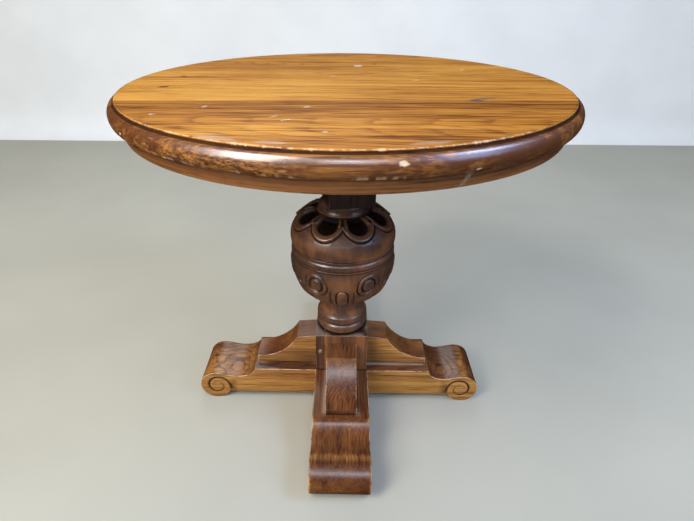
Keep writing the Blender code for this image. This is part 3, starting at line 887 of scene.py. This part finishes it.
def make_column():
    profile = column_profile()
    steps = 720
    points, faces, angles = lathe(profile, steps)
    run = np.concatenate([[0], np.cumsum(np.linalg.norm(np.diff(profile, axis=0), axis=1))])
    radius, z = profile.T
    slope = np.gradient(profile, axis=0)
    normal = np.stack([-slope[:, 1], slope[:, 0]], axis=1)
    normal /= np.maximum(np.linalg.norm(normal, axis=1, keepdims=True), 1e-9)
    angle = np.broadcast_to(angles, (len(profile), steps))
    wide = np.broadcast_to(radius[:, None], angle.shape)
    height = np.zeros(angle.shape)
    dark = np.zeros(angle.shape)
    worn = np.zeros(angle.shape)
    cover = (z < COVER_TOP - 0.0003) & (z > 0.3476)
    start = run[cover].min()
    far = np.broadcast_to((run - start)[:, None], angle.shape)
    height[cover], dark[cover], worn[cover] = carve_cover(angle[cover], wide[cover], far[cover])
    cup = (z < 0.3228) & (z > 0.2392)
    start = run[cup].min()
    far = np.broadcast_to((run - start)[:, None], angle.shape)
    height[cup], dark[cup], worn[cup] = carve_cup(angle[cup], wide[cup], far[cup])
    flat_angle = angle.ravel()
    level = np.broadcast_to(z[:, None], angle.shape).ravel()
    around = np.stack([np.cos(flat_angle), np.sin(flat_angle), level * 12], axis=1)
    patch = noise(around * 2.2, 31.0)
    small = noise(around * 9.0, 32.0)
    turned_lines = field([level * 900, flat_angle * 2], 33.0)
    height = height.ravel() + 0.00012 * (small - 0.5) + 0.00006 * (turned_lines - 0.5)
    dark, worn = dark.ravel(), worn.ravel()
    # Grooves of the turning are painted dark, as shade, and the raised rings are rubbed.
    for groove, width in GROOVES:
        dark = strongest(dark, 0.92 * bump(level, groove, width))
    for ring, width, strength in RUBBED_RINGS:
        worn = strongest(worn, strength * bump(level, ring, width))
    worn = strongest(
        worn,
        0.85 * bump(level, COLLAR_TOP - 0.0143, 0.0009),
        0.55 * bump(level, 0.207, 0.011) + 0.25 * bump(level, 0.168, 0.004),
        0.40 * step(level, 0.3236, 0.315) * step(level, 0.262, 0.300),
    )
    streaks = field([np.cos(flat_angle) * 38, np.sin(flat_angle) * 38, level * 60], 34.0)
    worn *= step(0.50 * patch + 0.32 * small + 0.18 * streaks, 0.34, 0.68) * (1 - dark)
    # Painted shade: darker towards the collar, under the top block.
    shade = step(level, 0.3800, 0.4080)
    tone = -0.12 + 0.36 * (patch - 0.5) - 0.22 * shade
    dark = strongest(dark, 0.45 * shade * step(level, COLLAR_TOP - 0.0100, 0.4060))
    normals = normal[:, None, :] * np.ones((1, steps, 1))
    at = points.reshape(-1, 3)
    reach = (height * normals[:, :, 0].ravel())[:, None]
    outward = np.column_stack([np.sin(flat_angle), -np.cos(flat_angle)])
    at[:, :2] += outward * reach
    at[:, 2] += height * normals[:, :, 1].ravel()
    lips = step(height, 0.0002, 0.0010) * step(level, 0.345, 0.352)
    marks = {"tone": tone, "dark": np.clip(dark, 0, 1), "worn": np.clip(worn, 0, 1)}
    marks["calm"] = np.full(len(at), 0.8)
    marks["shine"] = 0.7 * bump(level, WAIST_RING, 0.008) + 0.5 * lips
    piece("carved_column", at, faces, COLUMN_OAK, ["column"], marks, CARVING_SHARP)


# ---------------------------------------------------------------- the base


def slab(name, outline, half, ease, material, node, slot, place, extra, carve=None, dense=()):
    """A board with this outline of (along, z) points, half as wide as half, its long arrises eased.

    dense lists discs (centre, radius) of the side faces that carve(along, z) presses in, in metres.
    place(points) puts it where it belongs, and extra(points, marks) adds to the marks.
    """
    line = np.array(outline, float)
    forward = np.roll(line, -1, axis=0) - line
    forward /= np.linalg.norm(forward, axis=1, keepdims=True)
    backward = np.roll(forward, 1, axis=0)
    tangent = forward + backward
    tangent /= np.linalg.norm(tangent, axis=1, keepdims=True)
    inward = np.stack([-tangent[:, 1], tangent[:, 0]], axis=1)
    area = np.sum(line[:, 0] * np.roll(line[:, 1], -1) - np.roll(line[:, 0], -1) * line[:, 1])
    if area < 0:
        inward = -inward
    bend = np.clip(np.sum(forward * inward, axis=1), -1, 1)
    inward /= np.sqrt(np.clip(1 - bend**2, 0.3, 1))[:, None]
    count = len(line)
    rows = []
    wear = []
    turns = np.radians([90, 68, 45, 22, 0])
    widths = [(-half + ease * (1 - math.sin(a)), ease * (1 - math.cos(a))) for a in turns]
    inner = np.linspace(-half + ease, half - ease, max(3, round(2 * half / 0.0035)))[1:-1]
    stations = widths + [(w, 0.0) for w in inner] + [(-w, inset) for w, inset in reversed(widths)]
    for across, inset in stations:
        at = line + inward * inset
        rows.append(np.column_stack([at[:, 0], np.full(count, across), at[:, 1]]))
        wear.append(np.full(count, float(0 < inset < 0.9 * ease)))
    points = np.vstack(rows)
    grid = np.arange(len(stations) * count).reshape(len(stations), count)
    turned = np.roll(grid, -1, axis=1)
    sides = np.stack([grid[:-1], turned[:-1], turned[1:], grid[1:]], axis=2).reshape(-1, 4)
    if area < 0:
        sides = sides[:, ::-1]
    faces = sides.tolist()
    wear = np.concatenate(wear)
    # Side faces, with extra points where they are carved.
    border = rows[0][:, [0, 2]]
    inside = []
    spacing = 0.00085
    for centre, radius in dense:
        ticks = np.arange(-radius, radius, spacing)
        gx, gz = np.meshgrid(ticks, ticks)
        keep = np.hypot(gx, gz) < radius - 0.0016
        inside.append(np.column_stack([gx[keep] + centre[0], gz[keep] + centre[1]]))
    cloud = [Vector(p) for p in np.vstack([border, *inside]).tolist()]
    edges = [(i, (i + 1) % count) for i in range(count)]
    found = delaunay_2d_cdt(cloud, edges, [], 1, 1e-7)
    flat = np.array([v[:] for v in found[0]])
    cells = [list(face) for face in found[2]]
    for sign in (-1, 1):
        press = carve(flat[:, 0], flat[:, 1])[0] if carve else 0
        layer = np.column_stack([flat[:, 0], np.full(len(flat), sign * half) - sign * press, flat[:, 1]])
        first = len(points)
        points = np.vstack([points, layer])
        wear = np.concatenate([wear, np.zeros(len(layer))])
        faces += [[i + first for i in (cell if sign < 0 else cell[::-1])] for cell in cells]
    length, across, z = points.T
    ragged = field([length * 160, z * 160 + across * 40], 41.0)
    marks = {key: np.zeros(len(points)) for key in ("dark", "tone", "dust")}
    marks["worn"] = wear * step(ragged, 0.22, 0.62) * 0.85
    if carve:
        on_side = np.abs(across) > half - 0.003
        marks["dark"] = np.where(on_side, carve(length, z)[1], 0)
    extra(points, marks)
    points = place(points)
    item = piece(name, points, faces, material, [node], marks, SHARP)
    weld = bmesh.new()
    weld.from_mesh(item.data)
    bmesh.ops.remove_doubles(weld, verts=weld.verts, dist=0.00002)
    bmesh.ops.recalc_face_normals(weld, faces=weld.faces)
    weld.to_mesh(item.data)
    weld.free()
    item.data.set_sharp_from_angle(angle=math.radians(SHARP))


def foot_outline(reach):
    """One end of a runner from the side, from the ledge to the underside."""
    centre = (reach - SCROLL_RADIUS, SCROLL_RADIUS)
    low = 0.0565
    hollow_end = LEDGE_END + 0.44 * (centre[0] - LEDGE_END)
    hollow = arc((hollow_end, FOOT_TOP), (hollow_end - LEDGE_END, FOOT_TOP - low), 180, 270, 18)
    share = np.linspace(0, 1, 16)[1:-1]
    climb = low + (2 * SCROLL_RADIUS - low) * (1 - np.cos(math.pi * share)) / 2
    rise = np.column_stack([hollow_end + (centre[0] - hollow_end) * share, climb])
    turn = math.degrees(math.asin(1 - FOOT_CLEARANCE / SCROLL_RADIUS))
    radii = (SCROLL_RADIUS, SCROLL_RADIUS)
    scroll = arc(centre, radii, 90, -90, 56) + arc(centre, radii, -90, -180 + turn, 16)[1:]
    return [*hollow, *[tuple(p) for p in rise], *scroll]


def volute(along, z, centre, sign):
    """(depth, dark) of the spiral in a scroll's side, which winds in from the underside over the top."""
    x = (along - centre[0]) * sign + 0.0030
    y = z - centre[1] + 0.0018
    away = np.hypot(x, y)
    angle = (math.radians(207) - np.arctan2(y, x)) % (2 * math.pi)
    depth = np.zeros(len(away))
    for lap in range(2):
        turn = (angle + 2 * math.pi * lap) / (math.pi / 2)
        line = 0.0276 * np.exp(-0.19 * turn)
        strength = step(turn, 5.8, 2.0) * step(turn, 0.0, 0.25)
        width = 0.0018 + 0.0015 * strength
        cut = np.clip(1 - np.abs(away - line) / width, 0, 1) ** 0.8
        depth = strongest(depth, cut * (0.35 + 0.65 * strength) * (turn < 6.2))
    # The groove is painted darker the deeper it is cut, as shade.
    return 0.0022 * depth, 0.95 * depth


def make_runner(name, node, material, right, turned):
    left = [(-x, z) for x, z in reversed(foot_outline(FRONT_REACH))]
    top = refine([left[-1], (LEDGE_END, FOOT_TOP)], 0.006)[1:-1]
    under = refine([foot_outline(right)[-1], left[0]], 0.006)[1:-1]
    outline = [*foot_outline(right), *map(tuple, under), *left, *map(tuple, top)]
    centres = [((right - SCROLL_RADIUS, SCROLL_RADIUS), 1)]
    centres += [((SCROLL_RADIUS - FRONT_REACH, SCROLL_RADIUS), -1)]

    def carve(along, z):
        depth = np.zeros(len(along))
        dark = np.zeros(len(along))
        for centre, sign in centres:
            near = np.hypot(along - centre[0], z - centre[1]) < SCROLL_RADIUS - 0.0012
            cut, shade = volute(along, z, centre, sign)
            depth = np.where(near, cut, depth)
            dark = np.where(near, shade, dark)
        return depth, dark

    def extra(points, marks):
        along, across, z = points.T
        between = np.abs(across) < FOOT_HALF - 0.0015
        up = (z > 0.045) & between
        blotch = field([along * 22, across * 22 + z * 9], 51.0)
        ledge = step(np.abs(along), LEDGE_END + 0.002, LEDGE_END - 0.002) * up
        marks["tone"] += up * (0.26 * (blotch - 0.5) - 0.05) - 0.06 * ledge
        # Painted shade and sheen over the ends of the runner.
        marks["stain"] = 1.0 * between * (np.abs(along) > LEDGE_END - 0.004)
        if turned:
            marks["tone"] -= 0.08 * step(np.abs(along), 0.170, 0.190)
        # Less painted shade and sheen on the scroll crests, and on the left scroll of the side runner.
        marks["rubbed"] = 0.75 * bump(np.abs(along), 0.2480, 0.0120) * up
        if not turned:
            marks["rubbed"] = strongest(marks["rubbed"], 0.6 * up * step(along, -0.17, -0.19))
        bracket_edge = np.abs(across) - BRACKET_HALF
        corner = ledge * step(bracket_edge, 0.009, 0.001) * step(bracket_edge, -0.001, 0.0005)
        corner *= step(np.abs(along), 0.172, 0.160)
        marks["dust"] = 0.45 * corner * step(blotch, 0.15, 0.5)
        # Painted shade where the scrolls meet the floor.
        low = step(z, 0.010, 0.002)
        marks["dark"] = strongest(marks["dark"], 0.5 * low)

    def place(points):
        if not turned:
            return points
        return np.column_stack([-points[:, 1], points[:, 0], points[:, 2]])

    dense = [(centre, SCROLL_RADIUS) for centre, _ in centres]
    slab(name, outline, FOOT_HALF, 0.0014, material, node, "foot_oak", place, extra, carve, dense)


def bracket_outline():
    """A bracket from the side: flat cap, hollow slope and a short upright end."""
    bottom = FOOT_TOP + GAP
    end_height = 0.0147
    cap_end = 0.087
    run = BRACKET_REACH - cap_end
    rise = BRACKET_TOP - FOOT_TOP - end_height
    radius = (run**2 + rise**2) / (2 * rise)
    start = math.degrees(math.acos(run / radius))
    hollow = arc((BRACKET_REACH, FOOT_TOP + end_height + radius), (radius, radius), 180 + start, 270, 26)
    low = refine([(BRACKET_REACH, bottom), (BLOCK_HALF + GAP, bottom)], 0.006)
    return [(BLOCK_HALF + GAP, BRACKET_TOP), *hollow[1:-1], hollow[-1], *map(tuple, low)]


def make_brackets():
    turns = {"right": 0, "back": 1, "left": 2, "front": 3}
    for side, quarter in turns.items():
        angle = quarter * math.pi / 2
        spin = np.array([[math.cos(angle), -math.sin(angle)], [math.sin(angle), math.cos(angle)]])

        def place(points):
            return np.column_stack([points[:, :2] @ spin.T, points[:, 2]])

        def extra(points, marks):
            along, across, z = points.T
            # Painted shade along the foot, where the bracket sits on the runner, and in the gap low on its
            # end, darkest at the front.
            foot = step(z, FOOT_TOP + 0.0035, FOOT_TOP + 0.0008)
            end = step(along, BRACKET_REACH - 0.0012, BRACKET_REACH)
            shade = {"front": 0.93, "right": 0.4, "left": 0.4, "back": 0.4}[side]
            gap = end * step(z, FOOT_TOP + 0.012, FOOT_TOP + 0.0105) * shade
            marks["dark"] = strongest(0.5 * foot, gap)
            # Painted shade and sheen over all but the side faces.
            marks["stain"] = 0.8 * (np.abs(across) < BRACKET_HALF - 0.0013)
            blotch = field([along * 30, across * 30 + z * 20], 61.0 + quarter)
            marks["tone"] += 0.25 * (blotch - 0.5) - (0.20 if side in ("front", "back") else 0.03)

        material = BRACKET_OAK_X if quarter % 2 == 0 else BRACKET_OAK_Y
        shape = (bracket_outline(), BRACKET_HALF, 0.0011)
        slab(f"{side}_bracket", *shape, material, f"bracket_{side}", "bracket_oak", place, extra)


def make_block(name, node, corners, material, slot, ease, extra, turn=0.0, center=(0.0, 0.0)):
    """A squared block between two corners, all its arrises eased, cut fine enough to hold its marks."""
    low, high = (np.array(corner, float) for corner in corners)
    bm = bmesh.new()
    bmesh.ops.create_cube(bm, size=1.0)
    for v in bm.verts:
        v.co = Vector(low + (np.array(v.co[:]) + 0.5) * (high - low))
    bmesh.ops.bevel(bm, geom=bm.edges[:], offset=ease, segments=3, profile=0.5, affect="EDGES")
    for axis in range(3):
        side = Vector(np.eye(3)[axis])
        for place in np.arange(low[axis] + 0.004, high[axis] - 0.002, 0.004):
            slice_mesh(bm, side * place, side)
    points, faces = unpack(bm)
    # The cuts leave the faces in an order that changes from run to run.
    starts = [face.index(min(face)) for face in faces]
    faces = sorted(face[start:] + face[:start] for face, start in zip(faces, starts))
    near = [np.minimum(points[:, i] - low[i], high[i] - points[:, i]) for i in range(3)]
    closeness = np.sort(np.stack(near), axis=0)
    ragged = noise(points * 170, 71.0)
    marks = {
        "worn": 0.8 * step(closeness[1], ease * 0.95, ease * 0.4) * step(ragged, 0.25, 0.65),
        "tone": 0.2 * (noise(points * 25, 72.0) - 0.5),
    }
    extra(points, marks)
    cos, sin = math.cos(turn), math.sin(turn)
    spun = points.copy()
    spun[:, 0] = points[:, 0] * cos - points[:, 1] * sin + center[0]
    spun[:, 1] = points[:, 0] * sin + points[:, 1] * cos + center[1]
    piece(name, spun, faces, material, [node], marks, SHARP)


def block_marks(points, marks, top_height):
    """Dust on top, round the column's foot, with painted shade under the foot and along the runners."""
    x, y, z = points.T
    top = step(z, top_height - 0.0006, top_height - 0.0001)
    ring = np.hypot(x, y)
    dusty = step(noise(points * 60, 81.0), 0.3, 0.7)
    marks["dust"] = top * 0.25 * step(ring, 0.046, 0.054) * dusty
    crease_shade = 0.35 * step(z, FOOT_TOP + 0.003, FOOT_TOP + 0.001)
    marks["dark"] = strongest(0.75 * top * step(ring, 0.050, 0.047), crease_shade)


def make_blocks():
    base, packing, top = (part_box(node) for node in ("base_block", "packing_board", "top_block"))

    def base_extra(points, marks):
        block_marks(points, marks, base[1][2])

    def packing_extra(points, marks):
        block_marks(points, marks, packing[1][2])
        x, y, z = points.T
        front = step(y, -BLOCK_HALF + 0.0008, -BLOCK_HALF + 0.0002)
        nail_at = (packing[0][0] + 0.0085, FOOT_TOP + 0.047)
        nail = front * step(np.hypot(x - nail_at[0], z - nail_at[1]), 0.0035, 0.0018)
        marks["dust"] = strongest(marks["dust"], 0.9 * nail)
        marks["tone"] -= 0.28

    def top_extra(points, marks):
        marks["tone"] -= 0.35
        marks["dark"] = 0.55 * np.ones(len(points))
        marks["worn"] *= 0.5

    make_block("base_block_body", "base_block", base, BLOCK_OAK, "block_oak", 0.0011, base_extra)
    make_block("packing_piece", "packing_board", packing, BLOCK_OAK, "block_oak", 0.0009, packing_extra)
    half = TOP_BLOCK_HALF
    corners = ((-half, -half, top[0][2]), (half, half, top[1][2]))
    center = ((top[0][0] + top[1][0]) / 2, (top[0][1] + top[1][1]) / 2)
    stand = (TOP_BLOCK_TURN, center)
    make_block("turned_block", "top_block", corners, COLUMN_OAK, "column_oak", 0.0009, top_extra, *stand)


def dress_hidden_nodes():
    """The CAD pieces that keep their own shape: bearers, dowels, screws, bolt and washer."""
    for name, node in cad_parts.items():
        material = None
        if "screw" in name or "bolt" in name:
            material = STEEL
        elif "dowel" in name:
            material = BEECH
        elif name.startswith("bearer"):
            material = BEARER_OAK_X if name == "bearer_along" else BEARER_OAK_Y
        if material:
            node.data.materials.clear()
            node.data.materials.append(material)


# ---------------------------------------------------------------- studio


def sheet_material(name, color, roughness):
    w = Wood(name)
    place = w.node("TexCoord").outputs["Object"]
    soft = w.noise(place, (3, 3, 3), 3.0)
    shade = tuple(value * 0.94 for value in color)
    w.feed("Base Color", w.mix(w.band(soft, 0.3, 0.7), (*color, 1), (*shade, 1)))
    w.shader.inputs["Roughness"].default_value = roughness
    w.shader.inputs["Specular IOR Level"].default_value = 0.2
    return w.material


def make_studio():
    """A pale floor that curves up into a low, paler wall behind, and soft lights."""
    rows = [(-9, 0), (1.75, 0)]
    rows += [(y, z) for y, z in arc((1.75, 0.12), (0.12, 0.12), -90, 0, 12)][1:]
    rows += [(1.87, 1.3)]
    points = [(x, y, z) for y, z in rows for x in (-9, 9)]
    faces = [(2 * i, 2 * i + 1, 2 * i + 3, 2 * i + 2) for i in range(len(rows) - 1)]
    mesh = bpy.data.meshes.new("floor")
    mesh.from_pydata(points, [], faces)
    mesh.materials.append(sheet_material("pale_floor", srgb(181, 179, 165), 0.7))
    mesh.materials.append(sheet_material("pale_wall", srgb(250, 250, 246), 0.8))
    for face in mesh.polygons:
        face.material_index = int(face.center.y > 1.74)
    floor = make_object("floor", mesh)
    mesh.shade_smooth()
    floor.visible_glossy = False
    world = bpy.data.worlds.new("soft_sky")
    world.use_nodes = True
    world.node_tree.nodes["Background"].inputs["Color"].default_value = (0.93, 0.97, 1.0, 1)
    world.node_tree.nodes["Background"].inputs["Strength"].default_value = 0.34
    world.cycles_visibility.glossy = False
    SCENE.world = world
    lights = [
        ("high_left", (-1.25, -1.15, 2.30), 0.95, 38, (1.0, 0.98, 0.97)),
        ("high_front", (0.15, -2.05, 2.15), 0.9, 17, (0.80, 0.87, 1.0)),
        ("low_left", (-1.75, -1.85, 1.60), 1.0, 33, (1.0, 0.97, 0.95)),
        ("high_right", (1.60, -0.45, 2.10), 0.7, 24, (0.46, 0.62, 1.0)),
        ("low_right", (1.90, -1.30, 1.50), 1.1, 13, (0.40, 0.58, 1.0)),
        ("back", (-0.4, 2.2, 3.0), 1.6, 24, (1.0, 0.98, 0.95)),
    ]
    for name, spot_at, size, power, color in lights:
        data = bpy.data.lights.new(name, "AREA")
        data.size = size
        data.energy = power
        data.color = color
        lamp = make_object(name, data)
        lamp.location = spot_at
        lamp.rotation_euler = (Vector((0, 0, 0.4)) - Vector(spot_at)).to_track_quat("-Z", "Y").to_euler()
    SCENE.view_settings.view_transform = "Standard"
    SCENE.view_settings.exposure = 0.0


def make_camera():
    """The camera stands a little left of the middle and looks down on the top."""
    data = bpy.data.cameras.new("camera")
    data.sensor_width = 36
    data.lens = 26.24
    data.shift_x = 0.0162
    data.shift_y = -0.0087
    yaw, pitch, roll = math.radians(-1.02), math.radians(29.15), math.radians(0.19)
    forward = Vector((math.sin(yaw) * math.cos(pitch), math.cos(yaw) * math.cos(pitch), -math.sin(pitch)))
    right = Vector((math.cos(yaw), -math.sin(yaw), 0))
    up = right.cross(forward)
    side = right * math.cos(roll) + up * math.sin(roll)
    head = up * math.cos(roll) - right * math.sin(roll)
    pose = Matrix((side, head, -forward)).transposed().to_4x4()
    pose.translation = (0.0017, -0.8227, 0.7717)
    SCENE.camera = make_object("camera", data)
    SCENE.camera.matrix_world = pose


make_camera()
make_top()
make_rim()
make_column()
make_runner("side_runner", "runner_side_to_side", SIDE_OAK, RIGHT_REACH, False)
make_runner("long_runner", "runner_front_to_back", LONG_OAK, FRONT_REACH, True)
make_brackets()
make_blocks()
dress_hidden_nodes()
make_studio()
